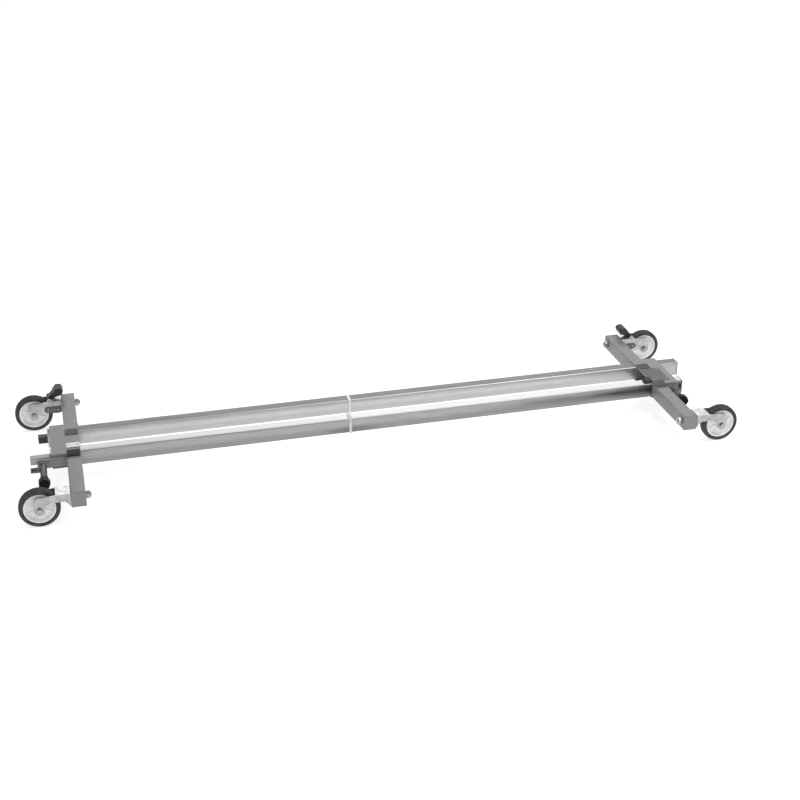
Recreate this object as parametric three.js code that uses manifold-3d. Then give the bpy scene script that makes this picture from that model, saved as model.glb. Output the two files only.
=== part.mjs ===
// Wheeled twin-tube spreader beam, in millimetres, +Z up, origin on the floor in the middle of the wheels.
// Two parallel rectangular tubes run along X. Each is two half tubes pushed onto a splice tube, with a
// ring showing at the joint. A carriage slides on the tubes at each end: a sleeve block round both tubes,
// a cross arm on each side of it, and a rigid wheel fork bolted through the tip of each arm.
import * as THREE from "three";
import { mergeVertices } from "three/addons/utils/BufferGeometryUtils.js";
import Module from "manifold-3d";

const wasm = await Module();
wasm.setup();

// ---- driving dimensions ----
const GAP = 0.3; // clearance kept between pieces that touch
const WELD = 1; // how far joined shapes run into each other

const LEVEL = 68; // height of the centre lines of the tubes and arms
const WHEEL = { x: 890, y: 257, radius: 50, rimRadius: 39, width: 23, facets: 32 };
const ARM = { x: 797, width: 36, height: 40, wall: 2.5, tip: 274, capThickness: 3 };
const ARM_OUTER_X = ARM.x + ARM.width / 2;
const ARM_INNER_X = ARM.x - ARM.width / 2;

const TUBE = { width: 32, height: 40, wall: 2 };
const SPLICE = { width: 27.4, height: 35.4, wall: 2, reach: 120 };
const STUB = { width: 20, height: 18 };
const MIDDLE_Y = 5.5; // the tubes sit a little to the far side of the wheels' middle
const BACK = { y: MIDDLE_Y + 56, left: -858, ring: -62, right: 905 };
const FRONT = { y: MIDDLE_Y - 56, left: -855, ring: -85, right: 868 };
const RING = { length: 8, overhang: 1.2 };
const CAP_THICKNESS = 3;

const BLOCK = { inner: ARM_INNER_X, outer: 852, halfWidth: 81.5, height: 45, middleWall: 4, nearLip: 58 };
const BLOCK_NEAR = MIDDLE_Y - BLOCK.halfWidth;
const BLOCK_FAR = MIDDLE_Y + BLOCK.halfWidth;
const LUG = { thickness: 6, top: 82, boss: 11, bossLength: 6, margin: 14 };
const CLAMP_X = { left: 874, right: 836 }; // where each hand screw stands
const SCREW = { stud: 5, sleeve: 9.5, knob: 14.5, knobLength: 25 };
const SLEEVE_LENGTH = { left: 74, right: 42 };
const PEG = { radius: 7, reach: 31, fromSeat: 17 }; // a side peg on the left hand screw only
const PAD = { length: 33, width: 30, thickness: 2.5, near: -77, far: 38 };

const FORK = { halfWidth: 21, plate: 3, crown: 4, boss: 13, bridge: 35, top: 88, bottom: 54 };
const BOLT = { stem: 6, stemHex: 19, axle: 4, axleHex: 13 };
const PEDAL = { x: -44, z: 88, pin: 3, halfWidth: 17, eye: 7.5 };

// ---- materials ----
const finish = (color, roughness, metalness) =>
  new THREE.MeshStandardMaterial({ color, roughness, metalness });
const MATERIAL = {
  tube: finish(0xb4b4b6, 0.35, 0.9),
  frame: finish(0x8c8888, 0.5, 0.6),
  zinc: finish(0xd6d6d4, 0.3, 0.9),
  hub: finish(0xd2d0ce, 0.55, 0.1),
  tyre: finish(0x2b2b2c, 0.85, 0),
  black: finish(0x17171a, 0.6, 0),
  ring: finish(0xeeeeec, 0.5, 0),
  grey: finish(0x9a9897, 0.6, 0),
};

// ---- solids ----
function toSolid(geometry) {
  const bare = geometry.index ? geometry.toNonIndexed() : geometry.clone();
  bare.deleteAttribute("normal");
  bare.deleteAttribute("uv");
  const merged = mergeVertices(bare, 1e-4);
  const shape = new wasm.Mesh({
    numProp: 3,
    vertProperties: merged.attributes.position.array,
    triVerts: new Uint32Array(merged.index.array),
  });
  return new wasm.Manifold(shape);
}

function toGeometry(solid) {
  const made = solid.getMesh();
  const geometry = new THREE.BufferGeometry();
  geometry.setAttribute("position", new THREE.BufferAttribute(made.vertProperties, 3));
  geometry.setIndex(new THREE.BufferAttribute(made.triVerts, 1));
  return geometry;
}

const join = (first, ...others) =>
  toGeometry(others.reduce((solid, other) => solid.add(toSolid(other)), toSolid(first)));

const cut = (body, ...tools) =>
  toGeometry(tools.reduce((solid, tool) => solid.subtract(toSolid(tool)), toSolid(body)));

const ordered = (a, b) => [Math.min(a, b), Math.max(a, b)];

// A box given by its extent along each axis; either end of an extent may come first.
function box(...extents) {
  const [x, y, z] = extents.map(([a, b]) => ordered(a, b));
  const geometry = new THREE.BoxGeometry(x[1] - x[0], y[1] - y[0], z[1] - z[0]);
  return geometry.translate((x[0] + x[1]) / 2, (y[0] + y[1]) / 2, (z[0] + z[1]) / 2);
}

// A rod along one axis, between two places on it, through the point at on the other two axes.
function rod(axis, radius, ends, at, sides = 16) {
  const [start, end] = ordered(...ends);
  const geometry = new THREE.CylinderGeometry(radius, radius, end - start, sides);
  const middle = (start + end) / 2;
  if (axis === "x") return geometry.rotateZ(-Math.PI / 2).translate(middle, ...at);
  return geometry.translate(at[0], middle, at[1]);
}

const hexagon = (axis, acrossFlats, ends, at) => rod(axis, acrossFlats / Math.sqrt(3), ends, at, 6);

// A side profile drawn in X and Z, given thickness along Y.
function plate(shape, ends) {
  const [low, high] = ordered(...ends);
  const options = { depth: high - low, bevelEnabled: false, curveSegments: 8 };
  return new THREE.ExtrudeGeometry(shape, options).rotateX(Math.PI / 2).translate(0, high, 0);
}

function outline(points) {
  return new THREE.Shape(points.map(([x, z]) => new THREE.Vector2(x, z)));
}

// A ring turned about the Y axis from a closed profile of [radius, y] points.
function turned(points, facets) {
  const closed = [...points, points[0]].map(([radius, y]) => new THREE.Vector2(radius, y));
  return new THREE.LatheGeometry(closed, facets, Math.PI / facets);
}

const root = new THREE.Group();

function add(parent, name, geometry, material) {
  const mesh = new THREE.Mesh(geometry, material);
  mesh.name = name;
  parent.add(mesh);
}

// ---- the two tubes ----
// A rectangular bar along X, level with the tubes, with a section grown by some millimetres all round.
function bar(section, y, ends, grow = 0) {
  const halfY = section.width / 2 + grow;
  const halfZ = section.height / 2 + grow;
  return box(ends, [y - halfY, y + halfY], [LEVEL - halfZ, LEVEL + halfZ]);
}

function hollow(section, y, start, end) {
  return cut(bar(section, y, [start, end]), bar(section, y, [start - WELD, end + WELD], -section.wall));
}

// A cap with a plug that fits the open end of a tube; way is +1 or -1 along X.
function endCap(y, end, way) {
  return join(
    bar(TUBE, y, [end + way * GAP, end + way * CAP_THICKNESS]),
    bar(TUBE, y, [end - way * 9, end + way * (GAP + WELD)], -TUBE.wall - GAP),
  );
}

// The left ends are closed by plugs with a smaller bar standing out of them.
function barPlug(y, end, length) {
  return join(
    bar(TUBE, y, [end, end + 20], -TUBE.wall - GAP),
    bar(STUB, y, [end - length, end + WELD]),
  );
}

function splicedTube(name, line) {
  add(root, `${name}_left_tube`, hollow(TUBE, line.y, line.left, line.ring - GAP), MATERIAL.tube);
  const rightStart = line.ring + RING.length + GAP;
  add(root, `${name}_right_tube`, hollow(TUBE, line.y, rightStart, line.right), MATERIAL.tube);
  const spliceEnds = [line.ring - SPLICE.reach, rightStart + SPLICE.reach];
  add(root, `${name}_splice_tube`, hollow(SPLICE, line.y, ...spliceEnds), MATERIAL.zinc);
  const ringEnds = [line.ring, line.ring + RING.length];
  const ring = cut(
    bar(TUBE, line.y, ringEnds, RING.overhang),
    bar(SPLICE, line.y, [ringEnds[0] - WELD, ringEnds[1] + WELD], GAP),
  );
  add(root, `${name}_joint_ring`, ring, MATERIAL.ring);
  add(root, `${name}_right_end_cap`, endCap(line.y, line.right, 1), MATERIAL.grey);
}

// ---- carriages ----
// The sleeve block is a welded box with one cell for each tube and an open cell between them.
// Its near wall stops at a lip, so the foot of the front tube shows below it and rests on the floor plate.
function sleeveBlock(side, clampX) {
  const xEnds = [side * BLOCK.inner, side * BLOCK.outer];
  const beyond = [side * (BLOCK.inner - WELD), side * (BLOCK.outer + WELD)];
  const half = BLOCK.height / 2;
  const body = box(xEnds, [BLOCK_NEAR, BLOCK_FAR], [LEVEL - half, LEVEL + half]);
  const cells = [FRONT.y, BACK.y].map((y) => bar(TUBE, y, beyond, 0.5));
  const wall = TUBE.width / 2 + 0.5 + BLOCK.middleWall;
  const floor = half - BLOCK.middleWall;
  const openCell = box(beyond, [FRONT.y + wall, BACK.y - wall], [LEVEL - floor, LEVEL + floor]);
  const tubeSide = FRONT.y - TUBE.width / 2 - 0.5;
  const underLip = box(beyond, [BLOCK_NEAR - WELD, tubeSide], [LEVEL - half - WELD, BLOCK.nearLip]);

  const lugFront = BLOCK_NEAR - LUG.thickness;
  const lugEnds = [side * (ARM_OUTER_X + 1.5), side * (clampX + LUG.margin)];
  const lug = box(lugEnds, [lugFront, BLOCK_NEAR + WELD], [BLOCK.nearLip, LUG.top]);
  const at = [side * clampX, LEVEL];
  const boss = rod("y", LUG.boss, [lugFront - LUG.bossLength, lugFront + WELD], at, 20);
  const thread = rod("y", SCREW.stud + GAP, [lugFront - 20, FRONT.y], at);
  return cut(join(cut(body, underLip), lug, boss), openCell, ...cells, thread);
}

// The hand screw turns about Y. Its tip comes up to the front tube and its knob is the nearest end.
function handScrew(sideName, side, clampX) {
  const tip = FRONT.y - TUBE.width / 2 - GAP;
  const seat = BLOCK_NEAR - LUG.thickness - LUG.bossLength - GAP;
  const sleeveEnd = seat - SLEEVE_LENGTH[sideName];
  const knobEnd = sleeveEnd - SCREW.knobLength;
  const profile = [
    [0, knobEnd],
    [SCREW.knob - 5, knobEnd],
    [SCREW.knob - 1.5, knobEnd + 1.5],
    [SCREW.knob, knobEnd + 5],
    [SCREW.knob, sleeveEnd - 5],
    [SCREW.knob - 1.5, sleeveEnd - 1.5],
    [SCREW.sleeve, sleeveEnd],
    [SCREW.sleeve, seat],
    [0, seat],
  ].map(([radius, y]) => new THREE.Vector2(radius, y));
  const x = side * clampX;
  const grip = new THREE.LatheGeometry(profile, 20).translate(x, 0, LEVEL);
  const stud = rod("y", SCREW.stud, [seat - WELD, tip], [x, LEVEL]);
  if (sideName === "right") return join(grip, stud);
  const peg = rod("x", PEG.radius, [x, x + side * PEG.reach], [seat - PEG.fromSeat, LEVEL], 14);
  return join(grip, stud, peg);
}

// A hollow arm from the block's side to its tip; sideY is -1 for the near arm and +1 for the far one.
function crossArm(side, sideY) {
  const start = sideY > 0 ? BLOCK_FAR + GAP : BLOCK_NEAR - GAP;
  const tip = sideY * ARM.tip;
  const section = (ends, shrink) =>
    box(
      [side * ARM_INNER_X + side * shrink, side * ARM_OUTER_X - side * shrink],
      ends,
      [LEVEL - ARM.height / 2 + shrink, LEVEL + ARM.height / 2 - shrink],
    );
  const bore = section([start - sideY * WELD, tip + sideY * WELD], ARM.wall);
  const stemHole = rod("x", BOLT.stem + GAP, [side * 700, side * 900], [sideY * WHEEL.y, LEVEL]);
  const arm = cut(section([start, tip], 0), bore, stemHole);
  const cap = join(
    section([tip + sideY * GAP, tip + sideY * ARM.capThickness], 0),
    section([tip - sideY * 7, tip + sideY * (GAP + WELD)], ARM.wall + GAP),
  );
  return { arm, cap };
}

// A pad lies on the block. One that reaches past the block's near edge steps down onto the arm.
function loadPad(side, y) {
  const x = side * ARM.x;
  const seat = LEVEL + BLOCK.height / 2 + GAP;
  const across = [x - PAD.length / 2, x + PAD.length / 2];
  const [start, end] = [y - PAD.width / 2, y + PAD.width / 2];
  const top = box(across, [start, end], [seat, seat + PAD.thickness]);
  if (start > BLOCK_NEAR) return top;
  const step = box(across, [start, BLOCK_NEAR - GAP], [LEVEL + ARM.height / 2 + GAP, seat + WELD]);
  return join(top, step);
}

function carriage(sideName, side) {
  const clampX = CLAMP_X[sideName];
  add(root, `${sideName}_sleeve_block`, sleeveBlock(side, clampX), MATERIAL.frame);
  add(root, `${sideName}_hand_screw`, handScrew(sideName, side, clampX), MATERIAL.black);
  for (const [endName, sideY] of [["near", -1], ["far", 1]]) {
    const { arm, cap } = crossArm(side, sideY);
    add(root, `${sideName}_${endName}_arm`, arm, MATERIAL.frame);
    add(root, `${sideName}_${endName}_arm_cap`, cap, MATERIAL.grey);
    add(root, `${sideName}_${endName}_load_pad`, loadPad(side, PAD[endName]), MATERIAL.black);
    wheelUnit(`${sideName}_${endName}`, side, sideY);
  }
}

// ---- wheel units ----
// Each is drawn in its own frame: origin on the floor under the axle, +X pointing away from the arm.
const CROWN_X = ARM_OUTER_X - WHEEL.x + GAP;

// The fork's side plate is cranked: level from the arm to above the wheel's middle, then down to the axle.
function forkLeg() {
  const shape = outline([
    [CROWN_X, FORK.bottom],
    [CROWN_X, FORK.top],
    [4, FORK.top - 3],
    [FORK.boss, FORK.top - 14],
    [FORK.boss, WHEEL.radius],
  ]);
  shape.absarc(0, WHEEL.radius, FORK.boss, 0, -Math.PI, true);
  shape.lineTo(-FORK.boss, WHEEL.radius + 8);
  shape.lineTo(-FORK.boss - 11, FORK.top - 20);
  shape.lineTo(CROWN_X + 14, FORK.top - 20);
  return shape;
}

function fork() {
  const { halfWidth, plate: thickness, crown, bridge, top, bottom } = FORK;
  const leg = forkLeg();
  const body = join(
    box([CROWN_X, CROWN_X + crown], [-halfWidth, halfWidth], [bottom, top]),
    plate(leg, [halfWidth - thickness, halfWidth]),
    plate(leg, [-halfWidth, thickness - halfWidth]),
    box([CROWN_X, CROWN_X + bridge], [-halfWidth, halfWidth], [top - thickness, top]),
  );
  const stemHole = rod("x", BOLT.stem + GAP, [CROWN_X - 9, CROWN_X + 9], [0, LEVEL]);
  const axleHole = rod("y", BOLT.axle + GAP, [-40, 40], [0, WHEEL.radius]);
  return cut(body, stemHole, axleHole);
}

// The braked fork has a round ear on each plate for the pedal pin and a slot in its top for the pedal.
function brakedFork(pinHole) {
  const { halfWidth, plate: thickness, top } = FORK;
  const at = [PEDAL.x, PEDAL.z];
  const ears = [-1, 1].map((way) =>
    rod("y", PEDAL.eye, [way * (halfWidth - thickness), way * halfWidth], at, 20),
  );
  const slot = box(
    [PEDAL.x - 12, 0],
    [-PEDAL.halfWidth - 0.6, PEDAL.halfWidth + 0.6],
    [top - thickness - WELD, top + WELD],
  );
  return cut(join(fork(), ...ears), slot, pinHole);
}

// One moulding: an eye round the pin, a brake heel below it and a wedge-shaped foot tread.
function pedal(pinHole) {
  const { x, z, eye, halfWidth } = PEDAL;
  const tread = outline([
    [x - 1, z - eye + 1],
    [x - 9, z + 3],
    [x - 35, z + 15],
    [x - 39, z + 26],
    [x - 33, z + 34],
    [x - 20, z + 34],
    [x + 6, z + 4],
  ]);
  const heel = outline([
    [x - 5, z - 4],
    [x - 4, z - 9.5],
    [x + 1, z - 9.5],
    [x + 6, z - 3],
  ]);
  const ends = [-halfWidth, halfWidth];
  return cut(join(rod("y", eye, ends, [x, z], 20), plate(tread, ends), plate(heel, ends)), pinHole);
}

function hub() {
  const rim = WHEEL.rimRadius;
  const half = [
    [rim, 10.5],
    [rim - 4, 10.5],
    [rim - 7, 4],
    [12, 5.5],
    [11, 17.4],
    [BOLT.axle + GAP, 17.4],
  ];
  const other = half.map(([radius, y]) => [radius, -y]).reverse();
  return turned([...half, ...other], WHEEL.facets);
}

// The tyre's flats touch the floor, so its edges lie a little outside the wheel's radius.
function tyre() {
  const toEdge = 1 / Math.cos(Math.PI / WHEEL.facets);
  const inside = (WHEEL.rimRadius + GAP) * toEdge;
  const outside = WHEEL.radius * toEdge;
  const half = WHEEL.width / 2;
  const side = [
    [inside, half],
    [outside - 5, half],
    [outside - 1.5, half - 1.5],
    [outside, half - 5],
  ];
  const other = side.map(([radius, y]) => [radius, -y]).reverse();
  return turned([...side, ...other].reverse(), WHEEL.facets);
}

function wheelUnit(name, side, sideY) {
  const unit = new THREE.Group();
  unit.position.set(side * WHEEL.x, sideY * WHEEL.y, 0);
  unit.rotation.z = side > 0 ? 0 : Math.PI;
  root.add(unit);
  const outward = side * sideY; // the way along the unit's own Y that points away from the beam

  if (sideY > 0) {
    const at = [PEDAL.x, PEDAL.z];
    const pinHole = rod("y", PEDAL.pin + GAP, [-40, 40], at);
    add(unit, `${name}_fork`, brakedFork(pinHole), MATERIAL.zinc);
    add(unit, `${name}_brake_pedal`, pedal(pinHole), MATERIAL.black);
    const reach = FORK.halfWidth + 1.5;
    add(unit, `${name}_pedal_pin`, rod("y", PEDAL.pin, [-reach, reach], at), MATERIAL.zinc);
  } else {
    add(unit, `${name}_fork`, fork(), MATERIAL.zinc);
  }

  const stemAt = [0, LEVEL];
  const head = CROWN_X + FORK.crown + GAP;
  const armInner = ARM_INNER_X - WHEEL.x - GAP;
  const stemBolt = join(
    hexagon("x", BOLT.stemHex, [head, head + 7.5], stemAt),
    rod("x", BOLT.stem, [armInner - 13, head + WELD], stemAt),
  );
  add(unit, `${name}_stem_bolt`, stemBolt, MATERIAL.zinc);
  const stemNut = cut(
    hexagon("x", BOLT.stemHex, [armInner - 10, armInner], stemAt),
    rod("x", BOLT.stem + GAP, [armInner - 20, armInner + 9], stemAt),
  );
  add(unit, `${name}_stem_nut`, stemNut, MATERIAL.zinc);

  const axleAt = [0, WHEEL.radius];
  const face = FORK.halfWidth + GAP;
  const axleBolt = join(
    hexagon("y", BOLT.axleHex, [outward * face, outward * (face + 5.5)], axleAt),
    rod("y", BOLT.axle, [outward * (face + WELD), -outward * (face + 9)], axleAt),
  );
  add(unit, `${name}_axle_bolt`, axleBolt, MATERIAL.zinc);
  const axleNut = cut(
    hexagon("y", BOLT.axleHex, [-outward * face, -outward * (face + 7)], axleAt),
    rod("y", BOLT.axle + GAP, [-60, 60], axleAt),
  );
  add(unit, `${name}_axle_nut`, axleNut, MATERIAL.zinc);
  add(unit, `${name}_wheel_hub`, hub().translate(0, 0, WHEEL.radius), MATERIAL.hub);
  add(unit, `${name}_tyre`, tyre().translate(0, 0, WHEEL.radius), MATERIAL.tyre);
}

// ---- assembly ----
splicedTube("back", BACK);
splicedTube("front", FRONT);
add(root, "back_left_plug", barPlug(BACK.y, BACK.left, 24), MATERIAL.black);
add(root, "front_left_stub", barPlug(FRONT.y, FRONT.left, 50), MATERIAL.tube);
carriage("left", -1);
carriage("right", 1);

export default root;
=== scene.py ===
"""Looks of a wheeled twin-tube spreader beam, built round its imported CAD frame. Metres, +Z up."""

import math
import random

import bmesh
import bpy
from mathutils import Matrix, Vector


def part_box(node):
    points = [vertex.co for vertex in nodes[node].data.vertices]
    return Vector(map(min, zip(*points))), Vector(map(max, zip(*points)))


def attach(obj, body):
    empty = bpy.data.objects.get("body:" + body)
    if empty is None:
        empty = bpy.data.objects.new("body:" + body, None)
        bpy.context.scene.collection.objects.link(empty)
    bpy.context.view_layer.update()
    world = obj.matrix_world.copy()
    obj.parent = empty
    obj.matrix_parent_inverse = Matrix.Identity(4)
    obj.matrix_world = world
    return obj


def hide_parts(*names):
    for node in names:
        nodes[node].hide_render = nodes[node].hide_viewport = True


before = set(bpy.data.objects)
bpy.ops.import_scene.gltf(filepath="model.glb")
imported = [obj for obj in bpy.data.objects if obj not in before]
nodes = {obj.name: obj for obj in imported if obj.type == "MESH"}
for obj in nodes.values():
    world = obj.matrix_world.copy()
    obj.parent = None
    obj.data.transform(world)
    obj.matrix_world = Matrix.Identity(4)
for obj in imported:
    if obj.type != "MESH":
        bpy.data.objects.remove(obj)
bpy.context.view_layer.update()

MM = 0.001
SIDES = {"left": -1, "right": 1}  # the way along X that leads outward
ENDS = ("near", "far")
TUBES = ("back", "front")


def centre(node):
    low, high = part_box(node)
    return (low + high) / 2


# ---------------------------------------------------------------- materials


class Surface:
    """A procedural material: a Principled shader with nodes added one by one."""

    def __init__(self, name, roughness, metallic=0.0, specular=0.5):
        self.material = bpy.data.materials.new(name)
        self.material.use_nodes = True
        self.tree = self.material.node_tree
        self.shader = self.tree.nodes["Principled BSDF"]
        self.shader.inputs["Metallic"].default_value = metallic
        self.shader.inputs["Roughness"].default_value = roughness
        self.shader.inputs["Specular IOR Level"].default_value = specular
        self.place = self.node("ShaderNodeTexCoord").outputs["Object"]

    def node(self, kind, **settings):
        made = self.tree.nodes.new(kind)
        for key, value in settings.items():
            setattr(made, key, value)
        return made

    def link(self, source, target):
        self.tree.links.new(source, target)

    def noise(self, scale, detail=4.0, roughness=0.55, stretch=(1, 1, 1)):
        """Cloudy noise with scale in cells per metre; stretch divides the frequency along each axis."""
        mapping = self.node("ShaderNodeMapping")
        mapping.inputs["Scale"].default_value = [1 / s for s in stretch]
        texture = self.node("ShaderNodeTexNoise")
        texture.inputs["Scale"].default_value = scale
        texture.inputs["Detail"].default_value = detail
        texture.inputs["Roughness"].default_value = roughness
        self.link(self.place, mapping.inputs["Vector"])
        self.link(mapping.outputs["Vector"], texture.inputs["Vector"])
        return texture.outputs["Fac"]

    def cells(self, scale):
        """Random grey crystals, as on galvanised steel."""
        texture = self.node("ShaderNodeTexVoronoi")
        texture.inputs["Scale"].default_value = scale
        self.link(self.place, texture.inputs["Vector"])
        split = self.node("ShaderNodeSeparateColor")
        self.link(texture.outputs["Color"], split.inputs["Color"])
        return split.outputs["Red"]

    def remap(self, value, from_low, from_high, to_low=0.0, to_high=1.0):
        made = self.node("ShaderNodeMapRange")
        limits = (from_low, from_high, to_low, to_high)
        for name, limit in zip(("From Min", "From Max", "To Min", "To Max"), limits):
            made.inputs[name].default_value = limit
        self.link(value, made.inputs["Value"])
        return made.outputs["Result"]

    def multiply(self, first, second):
        made = self.node("ShaderNodeMath", operation="MULTIPLY")
        self.link(first, made.inputs[0])
        self.link(second, made.inputs[1])
        return made.outputs["Value"]

    def mix(self, factor, first, second):
        """Colour first where factor is 0 and second where it is 1; each is a grey or RGB, or a socket."""
        made = self.node("ShaderNodeMix", data_type="RGBA")
        self.link(factor, made.inputs["Factor"])
        for socket, colour in ((made.inputs["A"], first), (made.inputs["B"], second)):
            if isinstance(colour, bpy.types.NodeSocket):
                self.link(colour, socket)
            else:
                socket.default_value = rgba(colour)
        return made.outputs["Result"]

    def colour(self, socket):
        self.link(socket, self.shader.inputs["Base Color"])

    def roughness(self, socket):
        self.link(socket, self.shader.inputs["Roughness"])

    def bump(self, height, depth):
        """Relief of depth metres; a second call adds its relief on top of the first."""
        made = self.node("ShaderNodeBump")
        made.inputs["Distance"].default_value = depth
        self.link(height, made.inputs["Height"])
        normal = self.shader.inputs["Normal"]
        if normal.is_linked:
            self.link(normal.links[0].from_socket, made.inputs["Normal"])
        self.link(made.outputs["Normal"], normal)

    def axis(self, name):
        split = self.node("ShaderNodeSeparateXYZ")
        self.link(self.place, split.inputs["Vector"])
        return split.outputs[name]

    def along(self, axis, start, end):
        """Rises from 0 at start to 1 at end, along one axis."""
        return self.remap(self.axis(axis), start, end)

    def band(self, axis, middle, half_width):
        """1 at middle, falling to 0 at half_width either side of it."""
        rising = self.remap(self.axis(axis), middle - half_width, middle)
        falling = self.remap(self.axis(axis), middle + half_width, middle)
        return self.multiply(rising, falling)

    def worn_edges(self, reach):
        """1 on sharp edges, fading to 0 over the reach in metres, broken up by noise."""
        rounded = self.node("ShaderNodeBevel", samples=4)
        rounded.inputs["Radius"].default_value = reach
        geometry = self.node("ShaderNodeNewGeometry")
        compare = self.node("ShaderNodeVectorMath", operation="DOT_PRODUCT")
        self.link(rounded.outputs["Normal"], compare.inputs[0])
        self.link(geometry.outputs["Normal"], compare.inputs[1])
        edge = self.remap(compare.outputs["Value"], 0.985, 0.86)
        return self.multiply(edge, self.remap(self.noise(150, detail=5, roughness=0.7), 0.42, 0.6))

    def facing_up(self):
        """1 on surfaces that face up, 0 elsewhere."""
        geometry = self.node("ShaderNodeNewGeometry")
        split = self.node("ShaderNodeSeparateXYZ")
        self.link(geometry.outputs["Normal"], split.inputs["Vector"])
        return self.remap(split.outputs["Z"], 0.85, 0.97)


def rgba(colour):
    if isinstance(colour, (int, float)):
        colour = (colour, colour, colour)
    return (*colour, 1.0)


# Marks on the tubes, in metres along the named axis. A run is where a mark starts and where it is full.
# A patch is a mark's middle and its half width.
# Most of these marks are painted light on the tubes: painted shade low down, a painted shade band and a
# painted shadow of the right carriage on the front tube's sides, a painted highlight along the front
# tube's top, and a painted reflection of the right carriage's arm on the back tube. The dark patch by the
# joint and the back tube's darker end are darker tone only.
LOW_SHADE_RUN_Z = (0.072, 0.062)
SHADE_BAND_RUN_X, SHADE_BAND_PATCH_Z = (0.25, 0.66), (0.0715, 0.016)
CARRIAGE_SHADOW_RUN_X, CARRIAGE_SHADOW_PATCH_Z = (0.64, 0.75), (0.070, 0.024)
DARK_PATCH_X, DARK_PATCH_Z = (-0.075, 0.085), (0.057, 0.013)
HIGHLIGHT_TOP_RUN_X = (-0.7, 0.0)
ARM_REFLECTION_RUN_X, DARKER_END_RUN_X = (0.58, 0.66), (0.845, 0.86)


def tube_steel(name, light, dark, top, top_roughness, painted_light_marks=False, darker_right_end=False):
    """Drawn and zinc-plated tube: long drawing streaks, faint crystals and painted shade that darkens it
    low down.

    The top face gets a colour of its own, top: a painted highlight on the front tube, a darker tone on
    the back tube.
    A tube with painted light marks has a painted shade band along its sides that thickens towards the
    right carriage, a painted shadow of that carriage beside it, a dark patch low down beside its joint
    and a painted highlight on top that gets brighter up to the joint. A tube with a darker right end has
    a painted reflection of the right carriage's arm near it, and is darker still beyond the carriage.
    """
    surface = Surface(name, roughness=0.34, metallic=0.85)
    streaks = surface.noise(420, detail=5, stretch=(40, 1, 1))
    clouds = surface.noise(9, detail=3, stretch=(3, 1, 1))
    colour = surface.mix(surface.remap(streaks, 0.35, 0.65), dark, light)
    colour = surface.mix(surface.remap(clouds, 0.55, 0.8, 0, 0.35), colour, dark)
    # painted shade: the tube's colour darkens towards the bottom
    painted_low_shade = surface.remap(surface.axis("Z"), *LOW_SHADE_RUN_Z, 0, 0.5)
    colour = surface.mix(painted_low_shade, colour, 0.62 * dark)
    if painted_light_marks:
        # painted shade: a dark band along the front tube's side that thickens towards the right carriage,
        # broken up by the thick noise
        shade_band = surface.multiply(surface.along("X", *SHADE_BAND_RUN_X), surface.band("Z", *SHADE_BAND_PATCH_Z))
        thick = surface.remap(surface.noise(40, detail=6, stretch=(5, 1, 1)), 0.25, 0.6, 0.55, 1.0)
        colour = surface.mix(surface.multiply(shade_band, thick), colour, 0.05)
        # painted shadow: the front tube's side turns nearly black next to the right carriage
        carriage_shadow = surface.multiply(surface.along("X", *CARRIAGE_SHADOW_RUN_X), surface.band("Z", *CARRIAGE_SHADOW_PATCH_Z))
        colour = surface.mix(surface.multiply(carriage_shadow, thick), colour, 0.02)
        # a darker patch low on the front tube's side, beside the joint
        dark_patch = surface.multiply(surface.band("X", *DARK_PATCH_X), surface.band("Z", *DARK_PATCH_Z))
        colour = surface.mix(surface.multiply(dark_patch, thick), colour, 0.10)
        # painted highlight: the top gets brighter from the left end up to the joint
        top = surface.mix(surface.along("X", *HIGHLIGHT_TOP_RUN_X), 0.85 * top, 1.15 * top)
    if darker_right_end:
        # painted reflection of the right carriage's arm darkens the tube near that carriage; beyond it
        # the tube is darker still
        colour = surface.mix(surface.along("X", *ARM_REFLECTION_RUN_X), colour, 0.56)
        colour = surface.mix(surface.along("X", *DARKER_END_RUN_X), colour, 0.42)
    # the top face takes the colour top in place of the side colour, patchily by the worn noise: on the
    # front tube a painted highlight, on the back tube a darker tone
    worn = surface.remap(surface.noise(60, stretch=(6, 1, 1)), 0.2, 0.75, 1.0, 0.8)
    on_top = surface.multiply(surface.facing_up(), worn)
    surface.colour(surface.mix(on_top, colour, top))
    crystals = surface.remap(surface.cells(160), 0, 1, 0.30, 0.42)
    surface.roughness(surface.mix(on_top, crystals, top_roughness))
    surface.bump(streaks, 0.00008)
    return surface.material


def zinc_plate(name):
    """Zinc plating on pressed steel and fasteners, with random dull patches: sides painted darker as
    painted shade, faces that look up lighter as a painted highlight.
    """
    surface = Surface(name, roughness=0.28, metallic=0.9)
    clouds = surface.noise(70, detail=4)
    side = surface.mix(surface.remap(clouds, 0.35, 0.7), (0.46, 0.46, 0.45), (0.33, 0.335, 0.34))
    dull = surface.remap(surface.noise(420, detail=3), 0.62, 0.75, 0, 0.5)
    side = surface.mix(dull, side, (0.24, 0.235, 0.225))
    bright = surface.mix(clouds, (0.47, 0.47, 0.465), (0.42, 0.42, 0.415))
    # painted light: darker sides, and a lighter top where the face looks up
    surface.colour(surface.mix(surface.facing_up(), side, bright))
    surface.roughness(surface.remap(clouds, 0.3, 0.7, 0.2, 0.38))
    surface.bump(surface.noise(900, detail=2), 0.00004)
    return surface.material


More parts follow.
